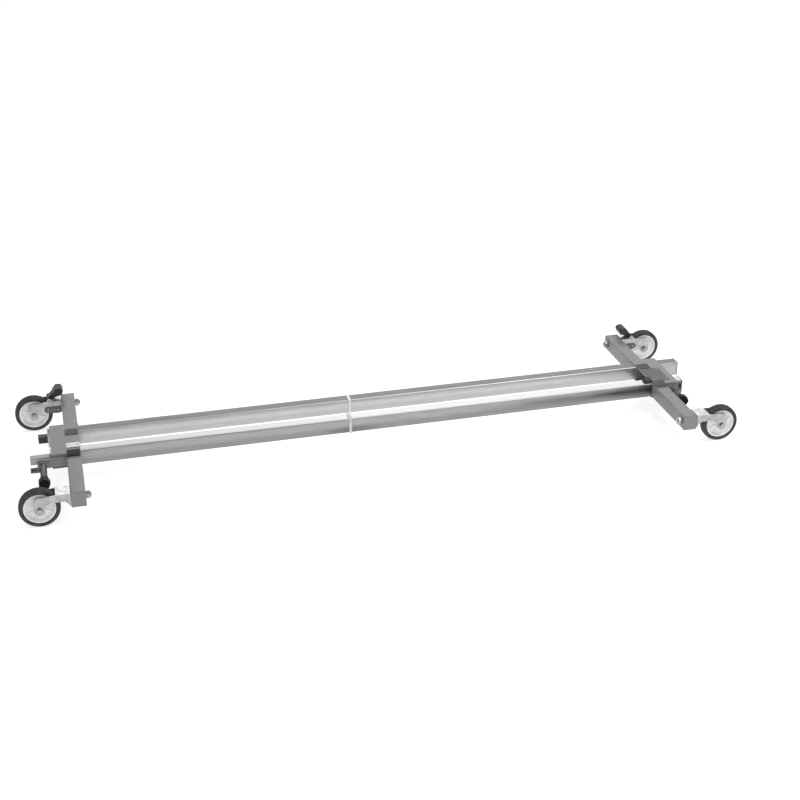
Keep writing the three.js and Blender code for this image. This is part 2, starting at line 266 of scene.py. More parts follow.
def enamel(name, base):
    """Semi-matt sprayed enamel with orange peel, dust on top and a few rubbed places."""
    surface = Surface(name, roughness=0.45, specular=0.45)
    patches = surface.noise(14, detail=4)
    lighter = [1.12 * c for c in base]
    darker = [0.86 * c for c in base]
    colour = surface.mix(surface.remap(patches, 0.35, 0.65), darker, lighter)
    dust = surface.multiply(surface.facing_up(), surface.remap(surface.noise(45), 0.4, 0.75, 0, 0.35))
    colour = surface.mix(dust, colour, [1.45 * c for c in base])
    scratches = surface.noise(260, detail=6, roughness=0.7, stretch=(1, 4, 1))
    rubbed = surface.remap(scratches, 0.68, 0.71, 0, 0.8)
    colour = surface.mix(rubbed, colour, (0.45, 0.44, 0.43))
    surface.colour(surface.mix(surface.worn_edges(0.0012), colour, (0.52, 0.51, 0.50)))
    surface.roughness(surface.remap(patches, 0.3, 0.7, 0.36, 0.55))
    surface.bump(surface.noise(480, detail=1), 0.00012)
    surface.bump(rubbed, -0.00005)
    return surface.material


def moulded(name, base, roughness, specular=0.5):
    """Injection-moulded plastic with a fine spark-eroded grain and handling marks."""
    surface = Surface(name, roughness=roughness, specular=specular)
    marks = surface.noise(55, detail=5, roughness=0.65)
    colour = surface.mix(surface.remap(marks, 0.35, 0.7), base, [1.25 * c + 0.004 for c in base])
    surface.colour(colour)
    surface.roughness(surface.remap(marks, 0.3, 0.7, roughness - 0.06, roughness + 0.12))
    surface.bump(surface.noise(1100, detail=2), 0.00005)
    return surface.material


def nylon_hub(name):
    """Light grey nylon: slightly waxy, with patches of floor dust."""
    surface = Surface(name, roughness=0.42)
    surface.shader.inputs["Subsurface Weight"].default_value = 0.08
    surface.shader.inputs["Subsurface Scale"].default_value = 0.004
    marks = surface.noise(120, detail=5)
    colour = surface.mix(surface.remap(marks, 0.3, 0.7), (0.88, 0.88, 0.87), (0.80, 0.80, 0.79))
    grime = surface.remap(surface.noise(38, detail=6, roughness=0.7), 0.55, 0.8, 0, 0.4)
    surface.colour(surface.mix(grime, colour, (0.36, 0.35, 0.33)))
    surface.roughness(surface.remap(marks, 0.3, 0.7, 0.36, 0.52))
    surface.bump(surface.noise(1300, detail=2), 0.00004)
    return surface.material


def rubber(name, base, dusty):
    """Rubber with a fine pitted skin and pale floor dust worn into it."""
    surface = Surface(name, roughness=0.72, specular=0.35)
    dust = surface.remap(surface.noise(75, detail=6, roughness=0.7), 0.42, 0.75, 0, 0.75)
    surface.colour(surface.mix(dust, base, dusty))
    surface.roughness(surface.remap(dust, 0, 0.75, 0.62, 0.86))
    surface.bump(surface.noise(1500, detail=3), 0.00007)
    return surface.material


def dark_steel(name):
    """Blackened steel with a rubbed sheen."""
    surface = Surface(name, roughness=0.42, metallic=0.6)
    marks = surface.noise(180, detail=5, stretch=(1, 3, 1))
    surface.colour(surface.mix(surface.remap(marks, 0.4, 0.7), (0.075, 0.076, 0.08), (0.19, 0.19, 0.195)))
    surface.roughness(surface.remap(marks, 0.3, 0.7, 0.32, 0.5))
    surface.bump(surface.noise(900), 0.00004)
    return surface.material


def pale_floor(name):
    """A white floor that glows a little, so only faint shadows stay on it."""
    surface = Surface(name, roughness=0.9, specular=0.1)
    tone = surface.mix(surface.noise(3, detail=2), (0.62, 0.62, 0.62), (0.64, 0.64, 0.64))
    surface.colour(tone)
    surface.link(tone, surface.shader.inputs["Emission Color"])
    surface.shader.inputs["Emission Strength"].default_value = 1.12
    return surface.material


LOOK = {
    # back_tube and front_tube are lit and shaded copies of one steel: the front tube's darker sides are
    # painted shade, its lighter top a painted highlight; the back tube has lighter sides and a darker
    # top.
    "back_tube": tube_steel(
        "back_tube_steel", light=0.72, dark=0.60, top=0.31, top_roughness=0.75, darker_right_end=True
    ),
    "front_tube": tube_steel(
        "front_tube_steel", light=0.41, dark=0.31, top=0.56, top_roughness=0.40, painted_light_marks=True
    ),
    "stub": tube_steel("stub_steel", light=0.42, dark=0.32, top=0.36, top_roughness=0.5),
    "frame_paint": enamel("grey_enamel", (0.235, 0.230, 0.230)),
    "zinc": zinc_plate("bright_zinc"),
    # the bright plate steel stands for a painted highlight on the left block's top
    "bright_plate": tube_steel("bright_plate_steel", light=0.60, dark=0.50, top=0.50, top_roughness=0.4),
    "hub": nylon_hub("light_grey_nylon"),
    "tyre": rubber("tyre_rubber", (0.035, 0.035, 0.036), dusty=(0.11, 0.108, 0.105)),
    "black_plastic": moulded("black_nylon", (0.016, 0.016, 0.017), 0.42),
    "knob_plastic": moulded("black_knob_phenolic", (0.004, 0.004, 0.004), 0.36, specular=0.14),
    "black_rubber": rubber("black_pad_rubber", (0.035, 0.035, 0.036), dusty=(0.09, 0.09, 0.09)),
    "grey_rubber": rubber("grey_mat_rubber", (0.14, 0.145, 0.142), dusty=(0.24, 0.245, 0.24)),
    "back_ring": moulded("white_ring_plastic", (0.78, 0.78, 0.77), 0.4),
    "front_ring": moulded("grey_white_ring_plastic", (0.56, 0.56, 0.555), 0.4),
    "grey_plastic": moulded("grey_cap_plastic", (0.21, 0.205, 0.205), 0.45),
    "dark_steel": dark_steel("blackened_steel"),
}


# ---------------------------------------------------------------- mesh tools


def piece(name, bm, look, body, smooth_angle=35, at=(0, 0, 0)):
    """Turns a bmesh into an object of the visual model that rides on a CAD body."""
    bmesh.ops.recalc_face_normals(bm, faces=bm.faces)
    mesh = bpy.data.meshes.new(name)
    bm.to_mesh(mesh)
    bm.free()
    made = bpy.data.objects.new(name, mesh)
    bpy.context.scene.collection.objects.link(made)
    made.location = at
    made.data.materials.append(LOOK[look])
    mesh.shade_smooth()
    mesh.set_sharp_from_angle(angle=math.radians(smooth_angle))
    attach(made, body)
    return made


def add_bevel(target, width, segments=2, angle=30):
    bevel = target.modifiers.new("edges", "BEVEL")
    bevel.width = width
    bevel.segments = segments
    bevel.limit_method = "ANGLE"
    bevel.angle_limit = math.radians(angle)
    bevel.harden_normals = True


def soften_cad(name, width, look, segments=2):
    """Keeps a CAD node and gives it rounded edges and a finish."""
    target = nodes[name]
    weld = target.modifiers.new("weld", "WELD")
    weld.merge_threshold = 0.000005
    flat = target.modifiers.new("flat_faces", "DECIMATE")
    flat.decimate_type = "DISSOLVE"
    flat.angle_limit = math.radians(1)
    add_bevel(target, width, segments)
    finish_cad(name, look)


def finish_cad(name, look):
    for slot in nodes[name].material_slots:
        slot.material = LOOK[look]


def ring_of(bm, points):
    return [bm.verts.new(point) for point in points]


def bridge(bm, first, second):
    count = len(first)
    for i in range(count):
        j = (i + 1) % count
        bm.faces.new((first[i], first[j], second[j], second[i]))


def lathe(bm, profile, segments, axis="y", lobe=None, closed=True):
    """Turns (radius, along) points about an axis through the origin. lobe(angle) scales the radius."""
    rings = []
    for radius, along in profile:
        points = []
        for i in range(segments):
            angle = 2 * math.pi * i / segments
            r = max(radius, 1e-6) * (lobe(angle) if lobe else 1)
            a, b = r * math.cos(angle), r * math.sin(angle)
            points.append((a, along, b) if axis == "y" else (along, a, b))
        rings.append(ring_of(bm, points))
    for first, second in zip(rings, rings[1:]):
        bridge(bm, first, second)
    if closed:
        bridge(bm, rings[-1], rings[0])
    else:
        bm.faces.new(rings[0])
        bm.faces.new(list(reversed(rings[-1])))


def arc(middle, radius, start, end, steps):
    """Points on a circle in the profile plane, from one angle to the other in degrees."""
    points = []
    for i in range(steps + 1):
        angle = math.radians(start + (end - start) * i / steps)
        points.append((middle[0] + radius * math.cos(angle), middle[1] + radius * math.sin(angle)))
    return points


def rounded_rectangle(half_a, half_b, radius):
    steps = 5  # facets in each corner
    points = []
    for quadrant, (sa, sb) in enumerate(((1, 1), (-1, 1), (-1, -1), (1, -1))):
        middle = (sa * (half_a - radius), sb * (half_b - radius))
        points += arc(middle, radius, 90 * quadrant, 90 * quadrant + 90, steps)
    return points


def prism(bm, outline, low, high):
    """An outline in X and Z given thickness along Y."""
    near = ring_of(bm, [(x, low, z) for x, z in outline])
    far = ring_of(bm, [(x, high, z) for x, z in outline])
    bridge(bm, near, far)
    bm.faces.new(near)
    bm.faces.new(list(reversed(far)))


def thread_profile(start, end, radius, pitch, depth):
    """A saw-tooth outline of a screw thread from start to end, as (radius, along) points."""
    way = 1 if end > start else -1
    turns = max(2, int(abs(end - start) / pitch))
    step = (end - start) / turns
    points = []
    for i in range(turns):
        points.append((radius - depth, start + i * step))
        points.append((radius, start + (i + 0.5) * step))
    points.append((radius - depth, end - 0.2 * pitch * way))
    points.append((radius - 1.4 * depth, end))
    return points


# ---------------------------------------------------------------- tubes and arms

TUBE_WALL = 2.0 * MM
ARM_WALL = 2.5 * MM
TUBE_CORNER = 3.2 * MM


def hollow_section(name, node, axis, body, look, wall=TUBE_WALL):
    """A drawn rectangular tube with round corners that fills a CAD node's box."""
    low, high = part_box(node)
    run, a, b = {"x": (0, 1, 2), "y": (1, 0, 2)}[axis]
    middle = (low + high) / 2
    half_a = (high[a] - low[a]) / 2
    half_b = (high[b] - low[b]) / 2
    rub = 0.5 * MM
    stations = [
        (low[run], rub),
        (low[run] + rub, 0),
        (high[run] - rub, 0),
        (high[run], rub),
    ]
    bm = bmesh.new()

    def section(place, inset, shrink):
        points = []
        smaller = inset + shrink
        radius = max(TUBE_CORNER - shrink, 1 * MM)
        outline = rounded_rectangle(half_a - smaller, half_b - smaller, radius)
        for u, v in outline:
            point = [0.0, 0.0, 0.0]
            point[run], point[a], point[b] = place, middle[a] + u, middle[b] + v
            points.append(point)
        return ring_of(bm, points)

    outer = [section(place, inset, 0) for place, inset in stations]
    inner = [section(place, 0, wall) for place in (high[run], low[run])]
    rings = outer + inner
    for first, second in zip(rings, rings[1:] + rings[:1]):
        bridge(bm, first, second)
    made = piece(name, bm, look, body)
    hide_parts(node)


def tube_rivet(name, at):
    """A domed blind rivet with its pulled pin, standing out of a tube's far face."""
    radius, rise = 3.6 * MM, 1.3 * MM
    dome = [(radius, 0), (radius, 0.35 * rise)] + arc((0, 0.35 * rise), radius, 0, 60, 4)[1:]
    squashed = [(r, min(y, rise)) for r, y in dome]
    profile = squashed + [(1.2 * MM, rise), (1.1 * MM, 0.6 * rise), (0.0, 0.7 * rise)]
    bm = bmesh.new()
    lathe(bm, profile, 24, closed=False)
    piece(name, bm, "zinc", "beam", at=at)


def build_tubes():
    """Both tubes with their joint rings, rivets and end caps, and the plug and stub at the left."""
    inner_rivet, outer_rivet = 22 * MM, 55 * MM  # distances from the joint ring
    for name in TUBES:
        look = f"{name}_tube"
        for half in ("left", "right"):
            hollow_section(f"{name}_{half}_tube_skin", f"{name}_{half}_tube", "x", "beam", look)
        finish_cad(f"{name}_splice_tube", "zinc")
        soften_cad(f"{name}_joint_ring", 0.7 * MM, f"{name}_ring")
        soften_cad(f"{name}_right_end_cap", 1.0 * MM, "grey_plastic", segments=3)
        low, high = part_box(f"{name}_joint_ring")
        tube_far_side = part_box(f"{name}_right_tube")[1].y
        z = (low.z + high.z) / 2
        places = (low.x - outer_rivet, low.x - inner_rivet, high.x + inner_rivet, high.x + outer_rivet)
        for i, x in enumerate(places):
            tube_rivet(f"{name}_splice_rivet_{i}", (x, tube_far_side, z))
    soften_cad("back_left_plug", 1.4 * MM, "black_plastic", segments=3)
    soften_cad("front_left_stub", 1.2 * MM, "stub", segments=3)


# ---------------------------------------------------------------- carriages

BEAD = 2.3 * MM
BOSS_RISE = 6 * MM  # how far the hand screw's boss stands out of its lug
LUG_THICKNESS = 6 * MM
KNOB_LENGTH = 25 * MM
PAD_THICKNESS = 2.5 * MM


def weld_bead(name, corners, body, seed, closed=True):
    """A rippled weld bead along straight runs between corner points, back to the first if closed."""
    rng = random.Random(seed)
    step_length = 1.25 * MM
    facets = 10
    askew = Vector((0.31, 0.87, 0.39))  # parallel to no bead
    path = [Vector(c) for c in corners] + ([Vector(corners[0])] if closed else [])
    points = []
    for start, end in zip(path, path[1:]):
        steps = max(2, int((end - start).length / step_length))
        points += [start.lerp(end, i / steps) for i in range(steps)]
    if not closed:
        points.append(path[-1])
    bm = bmesh.new()
    rings = []
    count = len(points)
    for i, point in enumerate(points):
        before = points[i - 1] if closed or i else point
        after = points[(i + 1) % count] if closed or i < count - 1 else point
        along = (after - before).normalized()
        side = along.cross(askew).normalized()
        other = along.cross(side)
        ripple = 0.82 if i % 2 else 1.0
        radius = BEAD * ripple * rng.uniform(0.92, 1.06)
        turns = [2 * math.pi * k / facets for k in range(facets)]
        spokes = [side * math.cos(t) + other * math.sin(t) for t in turns]
        rings.append(ring_of(bm, [point + spoke * radius for spoke in spokes]))
    for first, second in zip(rings, rings[1:]):
        bridge(bm, first, second)
    if closed:
        bridge(bm, rings[-1], rings[0])
    else:
        bm.faces.new(rings[0])
        bm.faces.new(list(reversed(rings[-1])))
    piece(name, bm, "frame_paint", body, smooth_angle=80)


def ribbed_pad(name, node, body, look, block_near_side):
    """A rubber pad with long ribs, lying on the block; a near pad also steps down onto the arm."""
    low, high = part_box(node)
    least_spacing, rib_height = 3.0 * MM, 1.5 * MM
    count = int((high.x - low.x) / least_spacing)
    step = (high.x - low.x) / count
    bottom = high.z - PAD_THICKNESS
    base = high.z - rib_height
    outline = [(high.x, bottom), (high.x, base)]
    for i in range(count):
        right = high.x - i * step
        outline += [
            (right - 0.12 * step, base),
            (right - 0.25 * step, high.z),
            (right - 0.75 * step, high.z),
            (right - 0.88 * step, base),
        ]
    outline += [(low.x, base), (low.x, bottom)]
    bm = bmesh.new()
    prism(bm, outline, low.y, high.y)
    if low.z < bottom - 1 * MM:
        overlap = bottom + 0.4 * MM
        inset = 0.1 * MM
        corners = [
            (low.x + inset, low.z),
            (high.x - inset, low.z),
            (high.x - inset, overlap),
            (low.x + inset, overlap),
        ]
        prism(bm, corners, low.y + inset, block_near_side - 0.3 * MM)
    made = piece(name, bm, look, body)
    add_bevel(made, 0.25 * MM, 2)
    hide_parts(node)


def top_plate(name, low, high, look, body, screws):
    """A thin plate with round corners and low-headed screws, lying on a sleeve block's top."""
    bm = bmesh.new()
    middle = (Vector(low) + Vector(high)) / 2
    half = (Vector(high) - Vector(low)) / 2
    rings = []
    edge = 0.5 * MM
    for z, inset in ((low[2], 0), (high[2] - edge, 0), (high[2], edge)):
        outline = rounded_rectangle(half.x - inset, half.y - inset, 3 * MM)
        rings.append(ring_of(bm, [(middle.x + u, middle.y + v, z) for u, v in outline]))
    bridge(bm, rings[0], rings[1])
    bridge(bm, rings[1], rings[2])
    bm.faces.new(rings[0])
    bm.faces.new(rings[-1])
    piece(name, bm, look, body)
    for i, (x, y) in enumerate(screws):
        bm = bmesh.new()
        head = [(2.6, 0), (2.6, 0.5), (2.2, 0.75), (0.9, 0.75), (0.8, 0.2), (0, 0.2)]
        lathe(bm, [(r * MM, z * MM) for r, z in head], 20, closed=False)
        bmesh.ops.rotate(bm, matrix=Matrix.Rotation(math.radians(90), 3, "X"), verts=bm.verts)
        piece(f"{name}_screw_{i}", bm, "zinc", body, at=(x, y, high[2] - 0.2 * MM))


def build_top_plate(side):
    """The left block carries a bright steel plate between its pads, a painted highlight put where light
    falls on the block's top; the right block a wide rubber mat.
    """
    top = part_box(f"{side}_near_load_pad")[1].z - PAD_THICKNESS
    near_pad, far_pad = (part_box(f"{side}_{end}_load_pad") for end in ENDS)
    screw_inset = 6 * MM
    if side == "left":
        start, end, thickness = 13 * MM, 38 * MM, 1.6 * MM  # start and end are counted from the near pad
        low = (near_pad[0].x - 1 * MM, near_pad[1].y + start, top)
        high = (near_pad[1].x + 1 * MM, near_pad[1].y + end, top + thickness)
        middle = (low[1] + high[1]) / 2
        screws = [(x, middle) for x in (low[0] + screw_inset, high[0] - screw_inset)]
        # a bright plate put where light falls on the block's top: a painted highlight
        top_plate("left_highlight_plate", low, high, "bright_plate", "left_carriage", screws)
        return
    block_outer_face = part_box("right_sleeve_block")[1].x
    bare_strip, thickness = 18 * MM, 1.4 * MM
    low = (near_pad[0].x + 3 * MM, near_pad[1].y + 4 * MM, top)
    high = (block_outer_face - bare_strip, far_pad[0].y - 2 * MM, top + thickness)
    columns, rows = ((low[i] + screw_inset, high[i] - screw_inset) for i in (0, 1))
    screws = [(x, y) for x in columns for y in rows]
    top_plate("right_rubber_mat", low, high, "grey_rubber", "right_carriage", screws)
    build_bump_stop()


def build_bump_stop():
    """A rubber stop on the right block's inner face, held just over the front tube's top."""
    block_inner_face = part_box("right_sleeve_block")[0].x
    tube_low, tube_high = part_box("front_right_tube")
    length, width, height = 20 * MM, 24 * MM, 9 * MM
    overlap, clearance = 0.5 * MM, 0.3 * MM  # into the block, and over the tube
    outline = [
        (0, 0),
        (-length + 2 * MM, 0),
        (-length, 2 * MM),
        (-length + 1 * MM, height - 3 * MM),
        (-length + 4 * MM, height),
        (0, height),
    ]
    bm = bmesh.new()
    prism(bm, outline, -width / 2, width / 2)
    at = (block_inner_face + overlap, (tube_low.y + tube_high.y) / 2, tube_high.z + clearance)
    made = piece("right_bump_stop", bm, "black_rubber", "right_carriage", at=at)
    add_bevel(made, 0.6 * MM, 2)


def build_arm(side, end):
    """One cross arm with its cap and load pad, and the weld bead that shows where a far arm begins."""
    name = f"{side}_{end}"
    body = f"{side}_carriage"
    arm = f"{name}_arm"
    hollow_section(f"{arm}_skin", arm, "y", body, "frame_paint", wall=ARM_WALL)
    soften_cad(f"{name}_arm_cap", 1.0 * MM, "grey_plastic", segments=3)
    look = "black_rubber" if (side, end) == ("left", "near") else "grey_rubber"
    low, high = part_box(arm)
    boss_face, block_far_side = (corner.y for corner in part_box(f"{side}_sleeve_block"))
    block_near_side = boss_face + BOSS_RISE + LUG_THICKNESS
    ribbed_pad(f"{name}_pad_skin", f"{name}_load_pad", body, look, block_near_side)
    if end == "far":
        inset = 0.6 * MM
        corners = [
            (low.x + inset, block_far_side, low.z + inset),
            (high.x - inset, block_far_side, low.z + inset),
            (high.x - inset, block_far_side, high.z - inset),
            (low.x + inset, block_far_side, high.z - inset),
        ]
        weld_bead(f"{name}_arm_weld", corners, body, seed=8)


def build_lug_weld(side, outward):
    """A bead up the corner between the near arm and the lug that holds the hand screw."""
    arm_low, arm_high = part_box(f"{side}_near_arm")
    lug_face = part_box(f"{side}_sleeve_block")[0].y + BOSS_RISE
    x = (arm_high.x if outward > 0 else arm_low.x) + outward * 0.4 * MM
    middle = (arm_low.z + arm_high.z) / 2
    down, up = 9 * MM, 13 * MM
    ends = [(x, lug_face, middle - down), (x, lug_face, middle + up)]
    weld_bead(f"{side}_lug_weld", ends, f"{side}_carriage", closed=False, seed=3)


def build_knob(name, body, radius, waist, at):
    """A lobed knob with a dished end that faces the near side."""
    rounding = 5 * MM
    lobes, lobe_depth = 7, 0.075
    outline = [(0, 1.2 * MM), (5.4 * MM, 1.2 * MM), (5.8 * MM, 0.3 * MM), (6.4 * MM, 0)]
    outline += arc((radius - rounding, rounding), rounding, -90, 0, 6)
    outline += arc((radius - rounding, KNOB_LENGTH - rounding), rounding, 0, 80, 6)
    outline += [(waist, KNOB_LENGTH), (0, KNOB_LENGTH)]

    def grip(angle):
        return 1 - lobe_depth * (0.5 - 0.5 * math.cos(lobes * angle)) ** 2

    bm = bmesh.new()
    lathe(bm, outline, 112, lobe=grip, closed=False)
    return piece(name, bm, "knob_plastic", body, at=at)


def build_screw_sleeve(name, body, radius, length, at):
    """A dark sleeve with two grooves near the knob, a slimmer middle and a collar at the boss."""
    groove, slimmer, edge = 1.2 * MM, 1.0 * MM, 0.6 * MM
    profile = [(0, 0), (radius - edge, 0), (radius, edge)]
    for start in (5 * MM, 9 * MM):
        profile += [
            (radius, start),
            (radius - groove, start + 0.6 * MM),
            (radius - groove, start + 1.6 * MM),
            (radius, start + 2.2 * MM),
        ]
    profile += [
        (radius, 16 * MM),
        (radius - slimmer, 19 * MM),
        (radius - slimmer, length - 5 * MM),
        (radius, length - 4 * MM),
        (radius, length - edge),
        (radius - edge, length),
        (0, length),
    ]
    bm = bmesh.new()
    lathe(bm, profile, 48, closed=False)
    piece(name, bm, "dark_steel", body, at=at)


def build_hand_screw(side, outward):
    """One hand screw: knob, sleeve and threaded stud, and a side peg where the CAD screw reaches out."""
    node = f"{side}_hand_screw"
    body = f"{side}_screw"
    low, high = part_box(node)
    knob_radius = (high.z - low.z) / 2
    z = (low.z + high.z) / 2
    x = low.x + knob_radius if outward > 0 else high.x - knob_radius
    sleeve_radius = 9.5 * MM
    waist = sleeve_radius + 0.6 * MM
    sleeve_end = low.y + KNOB_LENGTH
    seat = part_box(f"{side}_sleeve_block")[0].y - 0.3 * MM
    knob = build_knob(f"{side}_screw_knob", body, knob_radius, waist, (x, low.y, z))
    sleeve_at = (x, sleeve_end, z)
    build_screw_sleeve(f"{side}_screw_sleeve", body, sleeve_radius, seat - sleeve_end, sleeve_at)

    reach = high.x - x if outward > 0 else x - low.x
    if reach > knob_radius + 1 * MM:
        peg_setback = 17 * MM
        build_peg(f"{side}_screw_peg", reach, outward, body, (x, seat - peg_setback, z))

    stud_length = high.y - seat
    stud_radius, pitch, depth = 5 * MM, 1.5 * MM, 0.75 * MM
    bm = bmesh.new()
    stud = [(0, 0)] + thread_profile(0, stud_length, stud_radius, pitch, depth) + [(0, stud_length)]
    lathe(bm, stud, 32, closed=False)
    piece(f"{side}_screw_stud", bm, "zinc", body, at=(x, seat, z))
    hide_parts(node)


def build_peg(name, reach, outward, body, at):
    """A round peg with a grooved neck near its rounded end."""
    radius, neck = 7 * MM, 6.2 * MM
    rounding = 1.8 * MM
    profile = [
        (0, 0),
        (radius, 0),
        (radius, reach - 8 * MM),
        (neck, reach - 7.2 * MM),
        (neck, reach - 5.6 * MM),
        (radius, reach - 4.8 * MM),
    ]
    profile += arc((radius - rounding, reach - rounding), rounding, 0, 90, 4) + [(0, reach)]
    bm = bmesh.new()
    lathe(bm, [(r, outward * a) for r, a in profile], 40, axis="x", closed=False)
    piece(name, bm, "dark_steel", body, at=at)


def build_carriage(side, outward):
    """A sleeve block with its top plate, arms and hand screw; its forks and wheels are built apart."""
    soften_cad(f"{side}_sleeve_block", 1.0 * MM, "frame_paint")
    build_top_plate(side)
    for end in ENDS:
        build_arm(side, end)
    build_lug_weld(side, outward)
    build_hand_screw(side, outward)


# ---------------------------------------------------------------- wheels and forks


def build_tyre(name, at):
    """A rubber tyre with stepped flanks, round shoulders and a slightly crowned, grooved tread."""
    low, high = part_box(f"{name}_tyre")
    outer = (high.z - low.z) / 2
    half = (high.y - low.y) / 2
    inner = 39.2 * MM
    shoulder = 4.2 * MM
    groove_low, groove_high = 2.8 * MM, 4.0 * MM  # two grooves round the tread, this far off its middle
    groove_depth, groove_draft = 0.8 * MM, 0.15 * MM
    crown = 0.35 * MM

    def tread(y):
        return outer - crown * (y / (half - shoulder)) ** 2

    half_profile = [
        (inner, half - 1.2 * MM),
        (inner + 0.6 * MM, half - 0.5 * MM),
        (inner + 2.2 * MM, half - 0.5 * MM),
        (inner + 2.6 * MM, half),
    ]
    half_profile += arc((tread(half - shoulder) - shoulder, half - shoulder), shoulder, 90, 0, 7)
    half_profile += [
        (tread(groove_high), groove_high),
        (outer - groove_depth, groove_high - groove_draft),
        (outer - groove_depth, groove_low + groove_draft),
        (tread(groove_low), groove_low),
    ]
    profile = half_profile + [(outer, 0)] + [(r, -y) for r, y in reversed(half_profile)]
    bm = bmesh.new()
    lathe(bm, profile, 160)
    made = piece(f"{name}_tyre_skin", bm, "tyre", f"{name}_wheel", smooth_angle=40, at=at)
    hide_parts(f"{name}_tyre")


def add_hub_ribs(bm, boss, rim):
    """Flat ribs on both faces of a hub's web, running from the boss out to the rim."""
    count, half_thickness = 8, 1.1 * MM
    inner, outer = boss - 0.8 * MM, rim - 4.2 * MM
    corners = [
        (inner, 3.0 * MM),
        (outer, 3.0 * MM),
        (outer, 5.6 * MM),
        (boss + 6 * MM, 6.2 * MM),
        (inner, 10.5 * MM),
    ]
    for i in range(count):
        turn = Matrix.Rotation(2 * math.pi * (i + 0.5) / count, 4, "Y")
        for sign in (-1, 1):
            near = [turn @ Vector((r, sign * y, -half_thickness)) for r, y in corners]
            far = [turn @ Vector((r, sign * y, half_thickness)) for r, y in corners]
            first, second = ring_of(bm, near), ring_of(bm, far)
            bridge(bm, first, second)
            bm.faces.new(first)
            bm.faces.new(list(reversed(second)))


def build_hub(name, at):
    """A nylon hub: rim, dished web with ribs on both faces, and a boss round a steel bush."""
    rim, rim_half = 38.9 * MM, 10.5 * MM
    boss, boss_half = 11 * MM, 17.3 * MM
    bush, bore = 7.4 * MM, 4.35 * MM
    half = [
        (rim - 0.4 * MM, rim_half),
        (rim - 3.4 * MM, rim_half),
        (rim - 3.9 * MM, rim_half - 0.5 * MM),
        (rim - 5.6 * MM, 5.0 * MM),
        (rim - 7.2 * MM, 3.6 * MM),
        (boss + 3.5 * MM, 4.6 * MM),
        (boss + 1.0 * MM, 6.4 * MM),
        (boss, 9.0 * MM),
        (boss - 0.3 * MM, boss_half - 0.6 * MM),
        (boss - 0.9 * MM, boss_half),
        (bush + 0.5 * MM, boss_half),
        (bush, boss_half - 0.5 * MM),
    ]
    profile = [(rim, rim_half - 0.4 * MM)] + half
    profile += [(r, -y) for r, y in reversed(profile)]
    bm = bmesh.new()
    lathe(bm, profile, 128)
    add_hub_ribs(bm, boss, rim)
    made = piece(f"{name}_hub_skin", bm, "hub", f"{name}_wheel", at=at)
    add_bevel(made, 0.35 * MM, 2, angle=50)
    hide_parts(f"{name}_wheel_hub")

    bm = bmesh.new()
    end = boss_half + 0.05 * MM
    sleeve = [(bore, end), (bush - 0.5 * MM, end), (bush - 0.1 * MM, end - 0.4 * MM)]
    lathe(bm, sleeve + [(r, -y) for r, y in reversed(sleeve)], 48)
    piece(f"{name}_hub_bush", bm, "zinc", f"{name}_wheel", at=at)


def add_hexagon_head(bm, axis, way, flats, length):
    """A hexagon head that starts with a chamfered end at the origin and runs the given way."""
    corner = flats / 2 / math.cos(math.radians(30))
    chamfer = 0.8 * MM
    # how far along the bolt, and the radius past which the hexagon is cut round
    stations = [
        (0, flats / 2 * 0.93),
        (chamfer * 0.5, flats / 2 * 1.04),
        (chamfer, corner),
        (length, corner),
    ]
    rings = []
    for along, limit in stations:
        points = []
        for degrees in range(0, 360, 10):
            angle = math.radians(degrees)
            from_flat = math.radians(degrees % 60 - 30)
            reach = min(flats / 2 / math.cos(from_flat), limit)
            a, b = reach * math.cos(angle), reach * math.sin(angle)
            points.append((way * along, a, b) if axis == "x" else (a, way * along, b))
        rings.append(ring_of(bm, points))
    for first, second in zip(rings, rings[1:]):
        bridge(bm, first, second)
    bm.faces.new(rings[0])
    bm.faces.new(list(reversed(rings[-1])))


def build_bolt(name, node, axis, shank, flats, head_length, body):
    """A chamfered hexagon-headed bolt whose free end is threaded, in place of a plain CAD bolt.

    shank is a radius and flats is the width across the head's flats. The head goes to the end where the
    CAD bolt is wide.
    """
    low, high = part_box(node)
    run = 0 if axis == "x" else 1
    middle = (low + high) / 2
    at_low_end = [v.co.z for v in nodes[node].data.vertices if v.co[run] < low[run] + 1 * MM]
    width_at_low_end = max((abs(z - middle.z) for z in at_low_end), default=0)
    head_is_low = width_at_low_end > shank * 1.2
    head_end, free_end = (low[run], high[run]) if head_is_low else (high[run], low[run])
    way = 1 if head_is_low else -1
    total = abs(free_end - head_end)
    longest_thread, pitch, depth = 26 * MM, 1.5 * MM, 0.6 * MM
    smooth_end = total - min(longest_thread, total - head_length)
    shank_start = way * (head_length - 0.5 * MM)

    bm = bmesh.new()
    add_hexagon_head(bm, axis, way, flats, head_length)
    profile = [(0, shank_start), (shank, shank_start), (shank, way * smooth_end)]
    profile += thread_profile(way * smooth_end, way * total, shank, pitch, depth)
    profile.append((0, way * total))
    lathe(bm, profile, 32, axis=axis, closed=False)
    at = [middle.x, middle.y, middle.z]
    at[run] = head_end
    made = piece(name, bm, "zinc", body, smooth_angle=25, at=at)
    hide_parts(node)


def pedal_part(bm, outward, points, reach):
    """An outline in millimetres from the pin, with X counted outward, reaching both ways along Y."""
    prism(bm, [(outward * x * MM, z * MM) for x, z in points], -reach, reach)


